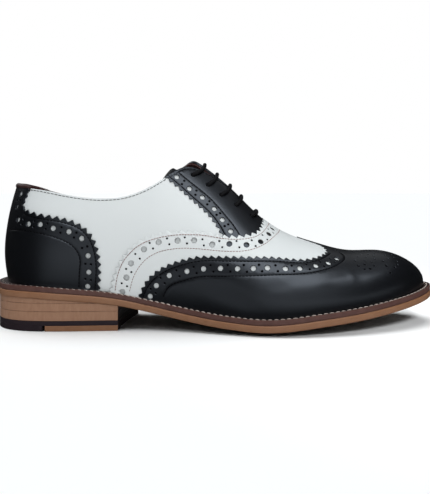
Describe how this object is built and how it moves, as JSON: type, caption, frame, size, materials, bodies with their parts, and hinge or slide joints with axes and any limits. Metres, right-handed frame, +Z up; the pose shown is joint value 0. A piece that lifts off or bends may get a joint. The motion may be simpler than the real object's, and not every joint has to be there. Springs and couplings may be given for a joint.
{
  "type": "brogue oxford shoe",
  "caption": "Two-tone wing-tip brogue oxford for the right foot: hollow upper, stitched welt, leather outsole and stacked heel, laced over a closed throat, standing empty on its sole.",
  "frame": {"origin": "middle of the shoe's bounding box, on the floor that heel and forefoot stand on", "axes": "+X towards the toe, +Y towards the big-toe (medial) side, +Z up"},
  "size_m": [0.306, 0.1029, 0.1135],
  "materials": {
    "white_leather": "smooth semi-gloss calf",
    "black_leather": "polished black calf with soft highlights",
    "lining_leather": "matt burgundy brown lining",
    "outsole_leather": "stained and burnished edge",
    "welt_leather": "dark stained edge with light stitches",
    "heel_leather": "stacked layers with fine grain",
    "heel_rubber": "matt dark rubber",
    "lace_cord": "waxed round cotton cord"
  },
  "bodies": {
    "root": {"outsole": "outsole_leather", "heel_lift_1": "heel_leather", "heel_lift_2": "heel_leather", "heel_lift_3": "heel_leather", "heel_rubber": "heel_rubber", "heel_top_piece": "heel_leather", "welt": "welt_leather", "insole": "lining_leather", "upper": "white_leather", "counter": "black_leather", "facing_lateral": "black_leather", "facing_medial": "black_leather", "vamp": "white_leather", "wing_cap": "black_leather", "tongue": "black_leather", "lace_bar_1": "lace_cord", "lace_bar_2": "lace_cord", "lace_bar_3": "lace_cord", "lace_bar_4": "lace_cord", "lace_bar_5": "lace_cord"}
  },
  "joints": []
}
